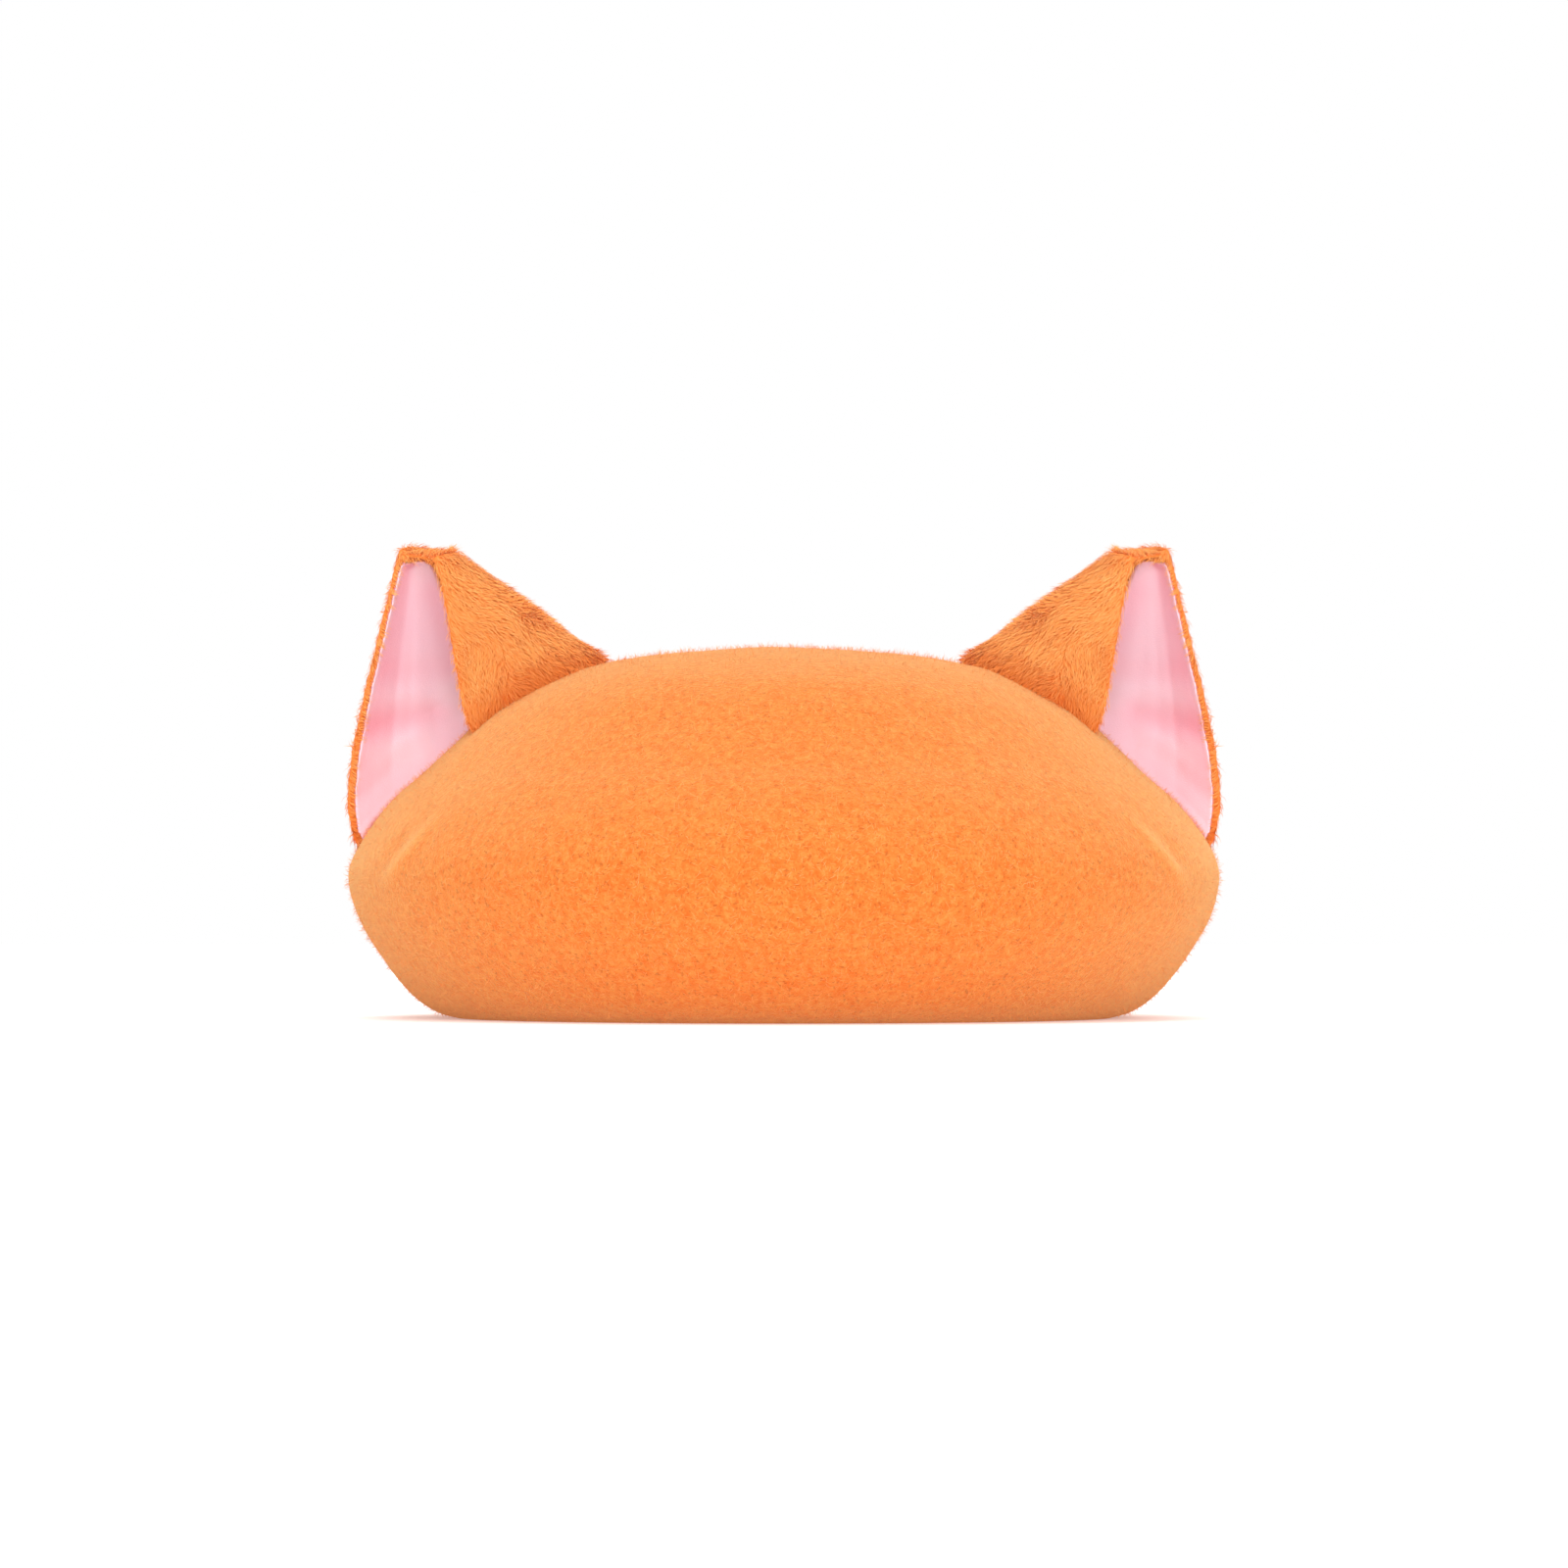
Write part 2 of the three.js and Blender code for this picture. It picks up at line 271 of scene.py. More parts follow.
def mixColour(material, share, first, second):
    mix = material.node_tree.nodes.new("ShaderNodeMix")
    mix.data_type = "RGBA"
    for socket, value in ((0, share), (6, first), (7, second)):
        if isinstance(value, bpy.types.NodeSocket):
            material.node_tree.links.new(value, mix.inputs[socket])
        elif socket == 0:
            mix.inputs[socket].default_value = value
        else:
            mix.inputs[socket].default_value = (*value, 1)
    return mix.outputs[2]


def scaled(material, value, factor, plus=0.0):
    maths = material.node_tree.nodes.new("ShaderNodeMath")
    maths.operation = "MULTIPLY_ADD"
    material.node_tree.links.new(value, maths.inputs[0])
    maths.inputs[1].default_value = factor
    maths.inputs[2].default_value = plus
    return maths.outputs[0]


def readValue(material, name):
    attribute = material.node_tree.nodes.new("ShaderNodeAttribute")
    attribute.attribute_name = name
    return attribute.outputs["Fac"]


def addBump(material, shader, height, strength, distance):
    bump = material.node_tree.nodes.new("ShaderNodeBump")
    bump.inputs["Strength"].default_value = strength
    bump.inputs["Distance"].default_value = distance
    material.node_tree.links.new(height, bump.inputs["Height"])
    material.node_tree.links.new(bump.outputs["Normal"], shader.inputs["Normal"])


feltLook = {
    "roughness": 0.95, "sheen": 0.65, "sheenRoughness": 0.45, "sheenTint": (1, 0.84, 0.4),
    "light": (0.8, 0.285, 0.058), "deep": (0.72, 0.13, 0.0125), "fleck": (0.36, 0.055, 0.007),
    "crestHighlight": (0.9, 0.42, 0.13),   # painted highlight along the crest of a fold
    "mottle": (22.0, 480.0, 1300.0, 1000.0, 0.31),   # scales of broad, tuft, fibre and fleck, share of flecks
    # how strongly each of them shows
    "tuftShare": (1.05, -0.15), "fibreShare": (0.85, -0.15), "fleckShare": 0.42,
    "bump": 0.55, "bumpHeight": 0.0004,
}
fibreLook = {   # what fuzz, pile and backing share
    "sheenRoughness": 0.4, "sheenTint": (1, 0.75, 0.5), "mottle": (60.0, 160.0, 900.0, 700.0, 0.25),
    "paleShare": 0.6, "broadShare": 0.35, "foot": (0.8, 0.165, 0.022),   # painted shade on the fibres where the ear meets the felt
}
fuzzLook = {
    "root": (0.87, 0.28, 0.06), "tip": (0.93, 0.38, 0.12), "pale": (0.97, 0.52, 0.22),
    "roughness": 0.9, "sheen": 0.3,
}
pileLook = {
    "root": (0.92, 0.25, 0.043), "tip": (0.98, 0.44, 0.11), "pale": (0.99, 0.56, 0.2),
    "roughness": 0.8, "sheen": 0.3,
}
backingLook = {
    "root": (0.86, 0.27, 0.055), "tip": (0.86, 0.27, 0.055), "pale": (0.92, 0.25, 0.043),
    "roughness": 0.95, "sheen": 0.1,
}
velourLook = {
    "roughness": 0.9, "sheen": 0.12, "sheenRoughness": 0.5, "sheenTint": (1, 0.8, 0.85),
    "light": (0.98, 0.77, 0.88), "deep": (0.965, 0.625, 0.765), "shade": (0.95, 0.43, 0.56),
    "mottle": (38.0, 330.0, 2400.0, 900.0, 0.2), "broadShare": (0.45, 0.1), "tuftShare": 0.1,
    "bump": 0.25, "bumpHeight": 0.0002,
}


def feltFinish():
    material, shader = newFinish("orangeFelt", feltLook)
    mottle = addMottle(material, feltLook["mottle"])
    colour = mixColour(material, scaled(material, mottle.outputs["Tuft"], *feltLook["tuftShare"]),
                       feltLook["light"], feltLook["deep"])
    colour = mixColour(material, scaled(material, mottle.outputs["Fibre"], *feltLook["fibreShare"]),
                       colour, feltLook["deep"])
    colour = mixColour(material, scaled(material, mottle.outputs["Fleck"], feltLook["fleckShare"]),
                       colour, feltLook["fleck"])
    # painted highlight: paler felt along the crests of the folds
    colour = mixColour(material, readValue(material, "crest"), colour, feltLook["crestHighlight"])
    material.node_tree.links.new(colour, shader.inputs["Base Color"])
    addBump(material, shader, mottle.outputs["Height"], feltLook["bump"], feltLook["bumpHeight"])
    return material


def fibreFinish(name, look):
    material, shader = newFinish(name, {**fibreLook, **look})
    mottle = addMottle(material, fibreLook["mottle"])
    along = readValue(material, "along")
    tone = readValue(material, "tone")
    # painted shade: each strand is darker at its root, deep in the pile, than at its tip
    colour = mixColour(material, along, look["root"], look["tip"])
    colour = mixColour(material, scaled(material, tone, fibreLook["paleShare"]), colour, look["pale"])
    colour = mixColour(material, scaled(material, mottle.outputs["Broad"], fibreLook["broadShare"]),
                       colour, look["root"])
    # painted shade on the pile near its seam with the felt
    colour = mixColour(material, readValue(material, "foot"), colour, fibreLook["foot"])
    material.node_tree.links.new(colour, shader.inputs["Base Color"])
    return material


def velourFinish():
    material, shader = newFinish("pinkVelour", velourLook)
    mottle = addMottle(material, velourLook["mottle"])
    shade = readValue(material, "shade")
    colour = mixColour(material, scaled(material, mottle.outputs["Broad"], *velourLook["broadShare"]),
                       velourLook["light"], velourLook["deep"])
    colour = mixColour(material, scaled(material, mottle.outputs["Tuft"], velourLook["tuftShare"]),
                       colour, velourLook["deep"])
    colour = mixColour(material, shade, colour, velourLook["shade"])
    material.node_tree.links.new(colour, shader.inputs["Base Color"])
    addBump(material, shader, mottle.outputs["Height"], velourLook["bump"], velourLook["bumpHeight"])
    return material


feltMaterial = feltFinish()
fuzzMaterial = fibreFinish("feltFibre", fuzzLook)
pileMaterial = fibreFinish("plushPile", pileLook)
skinMaterial = fibreFinish("plushBacking", backingLook)
velourMaterial = velourFinish()
print("finishes ready")


def strandShape(name, bend, material):
    bpy.ops.object.select_all(action="DESELECT")
    bpy.ops.mesh.primitive_plane_add(size=1, rotation=(math.pi / 2, 0, 0), location=(0, 0, 0.5))
    strand = bpy.context.object
    strand.name = name
    bpy.ops.object.transform_apply(location=True, rotation=True, scale=True)
    bpy.ops.object.mode_set(mode="EDIT")
    bpy.ops.mesh.select_all(action="SELECT")
    bpy.ops.transform.resize(value=(1, 1, 0.5), center_override=(0, 0, 0))
    bpy.ops.mesh.select_all(action="DESELECT")
    bpy.ops.object.mode_set(mode="OBJECT")
    for vertex in strand.data.vertices:
        vertex.select = vertex.co.z > 0.4   # the upper edge, drawn on to a point
    for edge in strand.data.edges:
        edge.select = all(strand.data.vertices[i].select for i in edge.vertices)
    bpy.ops.object.mode_set(mode="EDIT")
    bpy.ops.mesh.select_mode(type="EDGE")
    bpy.ops.mesh.extrude_region_move(TRANSFORM_OT_translate={"value": (0, -bend, 0.5)})
    bpy.ops.mesh.merge(type="CENTER")
    bpy.ops.object.mode_set(mode="OBJECT")
    bpy.ops.object.shade_smooth()
    keepValues(strand.data, "along", readPoints(strand.data)[:, 2])
    strand.data.materials.append(material)
    return strand


def strandLayout(name, strand, look):
    tree = bpy.data.node_groups.new(name, "GeometryNodeTree")
    tree.interface.new_socket(name="Geometry", in_out="INPUT", socket_type="NodeSocketGeometry")
    tree.interface.new_socket(name="Geometry", in_out="OUTPUT", socket_type="NodeSocketGeometry")
    nodes, links = tree.nodes, tree.links
    start = nodes.new("NodeGroupInput")
    end = nodes.new("NodeGroupOutput")

    def field(attribute, kind):
        node = nodes.new("GeometryNodeInputNamedAttribute")
        node.data_type = kind
        node.inputs["Name"].default_value = attribute
        return node.outputs["Attribute"]

    def vectorMaths(operation, first, second):
        node = nodes.new("ShaderNodeVectorMath")
        node.operation = operation
        for i, value in enumerate((first, second)):
            if isinstance(value, bpy.types.NodeSocket):
                links.new(value, node.inputs[i])
            elif operation == "SCALE" and i == 1:
                node.inputs["Scale"].default_value = value
            elif value is not None:
                node.inputs[i].default_value = value
        return node.outputs["Vector"]

    def maths(operation, first, second):
        node = nodes.new("ShaderNodeMath")
        node.operation = operation
        for i, value in enumerate((first, second)):
            if isinstance(value, bpy.types.NodeSocket):
                links.new(value, node.inputs[i])
            else:
                node.inputs[i].default_value = value
        return node.outputs[0]

    def chance(kind, low, high, seed):
        node = nodes.new("FunctionNodeRandomValue")
        node.data_type = kind
        sockets = [s for s in node.inputs if s.enabled and s.name in ("Min", "Max")]
        sockets[0].default_value = low
        sockets[1].default_value = high
        next(s for s in node.inputs if s.name == "Seed").default_value = seed
        return next(s for s in node.outputs if s.enabled)

    spread = nodes.new("GeometryNodeDistributePointsOnFaces")
    spread.distribute_method = "RANDOM"
    links.new(start.outputs["Geometry"], spread.inputs["Mesh"])
    links.new(maths("MULTIPLY", field("pile", "FLOAT"), look["perSquareMetre"]), spread.inputs["Density"])
    spread.inputs["Seed"].default_value = look["seed"]
    normal = spread.outputs["Normal"]
    jitter = chance("FLOAT_VECTOR", (-look["jitter"],) * 3, (look["jitter"],) * 3, look["seed"] + 1)
    lean = vectorMaths("ADD", vectorMaths("SCALE", normal, look["lift"]), field("nap", "FLOAT_VECTOR"))
    lean = vectorMaths("NORMALIZE", vectorMaths("ADD", lean, jitter), None)
    upright = nodes.new("FunctionNodeAlignRotationToVector")
    upright.axis = "Z"
    links.new(lean, upright.inputs["Vector"])
    facing = nodes.new("FunctionNodeAlignRotationToVector")
    facing.axis = "Y"
    facing.pivot_axis = "Z"
    links.new(upright.outputs["Rotation"], facing.inputs["Rotation"])
    twist = chance("FLOAT_VECTOR", (-look["twist"],) * 3, (look["twist"],) * 3, look["seed"] + 2)
    links.new(vectorMaths("ADD", normal, twist), facing.inputs["Vector"])
    length = maths("MULTIPLY", chance("FLOAT", look["shortest"], look["longest"], look["seed"] + 3),
                   field("reach", "FLOAT"))
    size = nodes.new("ShaderNodeCombineXYZ")
    size.inputs["X"].default_value = look["width"]
    links.new(length, size.inputs["Y"])
    links.new(length, size.inputs["Z"])
    shape = nodes.new("GeometryNodeObjectInfo")
    shape.inputs["Object"].default_value = strand
    shape.inputs["As Instance"].default_value = True
    lay = nodes.new("GeometryNodeInstanceOnPoints")
    links.new(spread.outputs["Points"], lay.inputs["Points"])
    links.new(shape.outputs["Geometry"], lay.inputs["Instance"])
    links.new(facing.outputs["Rotation"], lay.inputs["Rotation"])
    links.new(size.outputs["Vector"], lay.inputs["Scale"])
    tone = nodes.new("GeometryNodeStoreNamedAttribute")
    tone.data_type = "FLOAT"
    tone.domain = "INSTANCE"
    tone.inputs["Name"].default_value = "tone"
    links.new(lay.outputs["Instances"], tone.inputs["Geometry"])
    links.new(chance("FLOAT", 0.0, 1.0, look["seed"] + 4),
              next(s for s in tone.inputs if s.name == "Value" and s.enabled))
    real = nodes.new("GeometryNodeRealizeInstances")
    links.new(tone.outputs["Geometry"], real.inputs["Geometry"])
    links.new(real.outputs["Geometry"], end.inputs["Geometry"])
    return tree


def growStrands(under, name, look, material):
    strand = strandShape(name + "Strand", look["bend"], material)
    piece = bpy.data.objects.new(name, under.data.copy())
    piece.data.name = name
    bpy.context.scene.collection.objects.link(piece)
    piece.data.materials.clear()
    modifier = piece.modifiers.new("strands", "NODES")
    modifier.node_group = strandLayout(name, strand, look)
    applyModifiers(piece)
    makeActive(strand)
    bpy.ops.object.delete()
    points = readPoints(piece.data)
    points[:, 2] = np.maximum(points[:, 2], 0)   # strands by the floor lie on it
    writePoints(piece.data, points)
    print(name, "has", sum(len(p.vertices) - 2 for p in piece.data.polygons), "triangles")
    return piece


crown = {
    "openingRadius": 0.092, "restWidth": 0.0117, "reach": 0.138, "widestHeight": 0.042, "height": 0.117,
    "thickness": 0.0026, "bead": 0.00155,   # half the rolled edge round the opening
    "undersideSteps": 20, "domeSteps": 84, "spinSteps": 320,
    # out, up: shares from the resting ring to the widest place
    "underside": [(0.2, 0.05), (0.42, 0.18), (0.68, 0.44), (0.9, 0.73), (1.0, 1.0)],
    # reach, rise: shares of the widest radius, and of the height from there to the top
    "dome": [(0.993, 0.11), (0.951, 0.244), (0.895, 0.363), (0.835, 0.46), (0.758, 0.6),
             (0.68, 0.735), (0.587, 0.84), (0.458, 0.918), (0.27, 0.973), (0.0, 1.0)],
    # soft folds through these places, shares of reach, reach and height; width and rise in metres
    "folds": [
        ([(0.735, -0.57, 0.545), (0.768, -0.571, 0.5), (0.8, -0.562, 0.45), (0.834, -0.537, 0.405),
          (0.869, -0.492, 0.368), (0.9, -0.435, 0.345)], 0.0027, 0.0016),
        ([(0.79, -0.52, 0.51), (0.835, -0.5, 0.45), (0.875, -0.455, 0.41)], 0.0045, -0.001),
        ([(0.42, -0.24, 0.93), (0.7, -0.33, 0.8)], 0.0083, -0.0012),
        ([(0.3, 0.55, 0.86), (0.72, 0.5, 0.7)], 0.012, -0.001),
    ],
    "crestRise": 0.0017, "crestHighlightShare": 0.55,   # how much paler the felt is painted along a crest, a painted highlight
    "lumpSize": 0.034, "lumpHeight": 0.0014, "dimpleSize": 0.009, "dimpleHeight": 0.00035,
    "flatBelow": 0.004, "fullAbove": 0.02,     # heights between which the lumps come up to their full height
    "rollFrom": 65, "rollTo": 280, "rollSteps": 10,   # the rolled edge, in degrees
    "underRing": 0.4,                          # how far in the felt lies under its ring
}

fuzz = {
    "perSquareMetre": 430000, "shortest": 0.0011, "longest": 0.0027, "width": 0.00010, "bend": 0.25,
    "lift": 0.55, "jitter": 0.95, "twist": 0.3, "seed": 11,
    "swirlSize": 0.007, "swirl": 1.2,                         # how the fibres lie in whorls
    "facingOut": (-0.1, 0.2),                                 # fibres grow where the felt faces out
    "rimReach": (-0.1, -0.09), "rimHeight": (-0.012, -0.004),   # fibres go this far into the opening
    "bareFoot": (0.0004, 0.0025),                             # and thin out where the felt meets the floor
}


def smoothThrough(points, span, share):
    before = points[max(span - 1, 0)]
    first, second = points[span], points[min(span + 1, len(points) - 1)]
    after = points[min(span + 2, len(points) - 1)]
    slope1, slope2 = (second - before) / 2, (after - first) / 2
    return ((first - second) * 2 + slope1 + slope2) * share ** 3 \
        + ((second - first) * 3 - slope1 * 2 - slope2) * share ** 2 + slope1 * share + first


def crownOutline():
    ring = crown["openingRadius"] + crown["restWidth"]
    marks = [Vector((ring, 0))]
    for out, up in crown["underside"]:
        marks.append(Vector((ring + (crown["reach"] - ring) * out, crown["widestHeight"] * up)))
    for reach, rise in crown["dome"]:
        marks.append(Vector((crown["reach"] * reach,
                             crown["widestHeight"] + (crown["height"] - crown["widestHeight"]) * rise)))
    marks.append(Vector((-marks[-2].x, marks[-2].y)))
    under, over = len(crown["underside"]), len(crown["dome"])
    outline = [Vector((ring - crown["restWidth"] * crown["underRing"], 0))]
    for i in range(crown["undersideSteps"]):
        place = i / crown["undersideSteps"] * under
        outline.append(smoothThrough(marks, int(place), place % 1))
    for i in range(crown["domeSteps"]):
        place = under + i / crown["domeSteps"] * over
        outline.append(smoothThrough(marks, int(place), place % 1))
    outline.append(Vector((0, crown["height"])))
    return outline


def crownSection():
    outer = crownOutline()
    inner = []
    for i, point in enumerate(outer):
        if i == len(outer) - 1:
            inner.append(point - Vector((0, crown["thickness"])))
        else:
            run = (outer[i + 1] - outer[max(i - 1, 0)]).normalized()
            inner.append(point + Vector((-run.y, run.x)) * crown["thickness"])
    bead = crown["bead"]
    middle = Vector((crown["openingRadius"] + bead, bead))
    turns = np.linspace(math.radians(crown["rollFrom"]), math.radians(crown["rollTo"]), crown["rollSteps"])
    roll = [middle + Vector((math.cos(turn), math.sin(turn))) * bead for turn in turns]
    return [*reversed(inner), *roll, *outer]


def drawSection(name, section):
    bpy.ops.object.select_all(action="DESELECT")
    bpy.ops.mesh.primitive_plane_add(size=0.001)
    piece = bpy.context.object
    piece.name = name
    piece.data.name = name
    bpy.ops.object.mode_set(mode="EDIT")
    bpy.ops.mesh.merge(type="CENTER")
    places = [Vector((point.x, 0, point.y)) for point in section]
    bpy.ops.transform.translate(value=places[0])
    for before, after in zip(places, places[1:]):
        bpy.ops.mesh.extrude_region_move(TRANSFORM_OT_translate={"value": after - before})
    return piece


def foldRise(points):
    size = np.array((crown["reach"], crown["reach"], crown["height"]))
    here = points.copy()
    here[:, 0] = np.abs(here[:, 0])   # the folds mirror each other
    rise = np.zeros(len(points))
    for marks, width, height in crown["folds"]:
        places = np.array(marks) * size
        nearest, along = np.full(len(points), np.inf), np.zeros(len(points))
        for i, (start, end) in enumerate(zip(places, places[1:])):
            share = np.clip((here - start) @ (end - start) / ((end - start) @ (end - start)), 0, 1)
            away = np.sum((here - start - share[:, None] * (end - start)) ** 2, axis=1)
            along = np.where(away < nearest, (i + share) / (len(places) - 1), along)
            nearest = np.minimum(nearest, away)
        fade = np.sin(np.pi * along) ** 1.5   # a fold runs out at its ends
        rise += height * fade * np.exp(-nearest / width ** 2)
    return rise


def lumpModifier(piece, size, height, group):
    cloud = bpy.data.textures.new("lumps", "CLOUDS")
    cloud.noise_scale = size
    cloud.noise_depth = 1
    modifier = piece.modifiers.new("lumps", "DISPLACE")
    modifier.texture = cloud
    modifier.texture_coords = "LOCAL"
    modifier.strength = height
    modifier.mid_level = 0.5
    modifier.vertex_group = group


def makeCrown():
    piece = drawSection("crownFelt", crownSection())
    bpy.ops.mesh.select_all(action="SELECT")
    bpy.ops.mesh.spin(steps=crown["spinSteps"], angle=math.tau, center=(0, 0, 0), axis=(0, 0, 1))
    bpy.ops.mesh.select_all(action="SELECT")
    bpy.ops.mesh.remove_doubles(threshold=2e-5)
    bpy.ops.mesh.select_all(action="SELECT")
    bpy.ops.mesh.normals_make_consistent(inside=False)
    bpy.ops.object.mode_set(mode="OBJECT")
    bpy.ops.object.shade_smooth()
    points = readPoints(piece.data)
    heart = np.array((0, 0, crown["widestHeight"]))
    rise = foldRise(points)
    writePoints(piece.data, points + unit(points - heart) * rise[:, None])
    # painted highlight along each fold's crest, by how high the fold rises
    keepValues(piece.data, "crest", np.clip(rise / crown["crestRise"], 0, 1) * crown["crestHighlightShare"])
    raised = piece.vertex_groups.new(name="raised")   # the resting ring stays flat
    lift = softStep(points[:, 2], crown["flatBelow"], crown["fullAbove"])
    for share in np.unique(lift.round(2)):
        raised.add([int(i) for i in np.flatnonzero(lift.round(2) == share)], float(share), "REPLACE")
    lumpModifier(piece, crown["lumpSize"], crown["lumpHeight"], "raised")
    lumpModifier(piece, crown["dimpleSize"], crown["dimpleHeight"], "raised")
    applyModifiers(piece)
    piece.data.materials.append(feltMaterial)
    return piece


def markFuzz(piece):
    points, normals = pointsAndNormals(piece)
    heart = np.array((0, 0, crown["widestHeight"]))
    outside = softStep(np.sum(unit(points - heart) * normals, axis=1), *fuzz["facingOut"])
    reachOut = np.hypot(points[:, 0], points[:, 1])
    rim = softStep(-reachOut, *fuzz["rimReach"]) * softStep(-points[:, 2], *fuzz["rimHeight"])
    keepValues(piece.data, "pile", np.maximum(outside, rim) * softStep(points[:, 2], *fuzz["bareFoot"]))
    swirl = np.stack([noiseAt(points, fuzz["swirlSize"], seed) for seed in (1, 2, 3)], axis=1)
    swirl -= normals * np.sum(swirl * normals, axis=1, keepdims=True)
    keepValues(piece.data, "nap", swirl * fuzz["swirl"])
    keepValues(piece.data, "reach", np.ones(len(points)))


crownPiece = makeCrown()
print("crown has", len(crownPiece.data.polygons), "faces")
markFuzz(crownPiece)
fuzzPiece = growStrands(crownPiece, "crownFuzz", fuzz, fuzzMaterial)


ear = {
    "skinVoxel": 0.0010, "skinSmooth": 10, "skinSink": 0.0008,
    "liningBed": 0.0012,                         # how much deeper the backing lies under the velour
    "seamReach": 0.0026, "seamDepth": 0.0004,    # how the layers' lower ends are pressed to the felt
    "footShadeReach": 0.011, "footShadeShare": 0.8,        # painted shade: how far up from the felt the plush is darkened, and how much
    # the outer corner: middle of its arc as x and z, its radius, and the slopes cut there in degrees
    "cornerMiddle": (-0.1206, 0.1482), "cornerRadius": 0.0039, "cornerCuts": (-68, -45, -22),
    "napInward": 0.55, "napDown": 0.85,          # lie of the pile, towards the hat's middle and down
    "tuftSize": 0.007, "tuftLean": 0.64, "partSize": 0.019, "partLean": 1.0,
    "leastLean": 0.7,                            # no pile stands straighter than this
    "edgeReach": 0.0036, "edgeLean": 2.2,        # how the pile by the velour's edge lies over it
    "shortBy": 0.32, "shortReach": 0.007,        # and is shorter there
    "nearLining": 0.01, "nearFelt": 0.01,        # how far off the neighbours count
    "touch": 0.0005, "underFelt": 0.0015, "facing": 0.8,        # no pile grows into the felt
    "unevenSize": 0.004, "uneven": 0.2,          # how uneven the pile's length is
    "bedMargin": 0.0035,                         # the bed starts this far in from the velour's edge
    "bedStart": 0.0005, "pileStart": 0.001,      # how far below the surface the tests for velour begin
    "liningClear": 0.0045,                       # and how far they look
}

pile = {
    "perSquareMetre": 4300000, "shortest": 0.0026, "longest": 0.0044, "width": 0.00023, "bend": 0.3,
    "lift": 0.72, "jitter": 0.36, "twist": 0.35, "seed": 31,
}


def pressToFelt(piece, body):
    tree = treeOf(body)
    points = readPoints(piece.data)
    for i, point in enumerate(points):
        place, _, _, away = tree.find_nearest(Vector(point), ear["seamReach"])
        if place is not None:
            share = 1 - (away / ear["seamReach"]) ** 2
            toward = np.array(place) - point
            points[i] += toward * share * (1 + ear["seamDepth"] / max(away, 1e-5))
    writePoints(piece.data, points)


def bedForLining(piece, lining):
    tree = treeOf(lining)
    points, normals = pointsAndNormals(piece)
    around = [Vector((x, 0, z)) * ear["bedMargin"]
              for x, z in ((0, 0), (-1, 0), (1, 0), (0, -1), (0, 1))]
    for i, (point, normal) in enumerate(zip(points, normals)):
        start = Vector(point - normal * ear["bedStart"])
        if normal[1] < 0 and all(tree.ray_cast(start + step, Vector(normal), ear["liningClear"])[0]
                                 for step in around):
            points[i] -= normal * ear["liningBed"]
    writePoints(piece.data, points)


def cutRound(piece, middle, radius, slopes):
    makeActive(piece)
    bpy.ops.object.mode_set(mode="EDIT")
    x, z = middle
    for slope in map(math.radians, slopes):
        out, up = math.sin(slope), math.cos(slope)
        bpy.ops.mesh.select_all(action="SELECT")
        bpy.ops.mesh.bisect(plane_co=(x + out * radius, 0, z + up * radius),
                            plane_no=(out, 0, up), use_fill=True, clear_outer=True)
    bpy.ops.object.mode_set(mode="OBJECT")


def makeSkin():
    piece = copyOfNode("left_ear_fur", "leftEarBacking")
    cutRound(piece, ear["cornerMiddle"], ear["cornerRadius"], ear["cornerCuts"])
    grain = piece.modifiers.new("even", "REMESH")
    grain.mode = "VOXEL"
    grain.voxel_size = ear["skinVoxel"]
    grain.use_smooth_shade = True
    applyModifiers(piece)
    bedForLining(piece, frame["nodes"]["left_ear_lining"])
    soft = piece.modifiers.new("soft", "SMOOTH")
    soft.factor = 0.5
    soft.iterations = ear["skinSmooth"]
    sink = piece.modifiers.new("sink", "DISPLACE")
    sink.strength = -ear["skinSink"]
    sink.mid_level = 0
    applyModifiers(piece)
    pressToFelt(piece, crownPiece)
    piece.data.materials.clear()
    piece.data.materials.append(skinMaterial)
    return piece


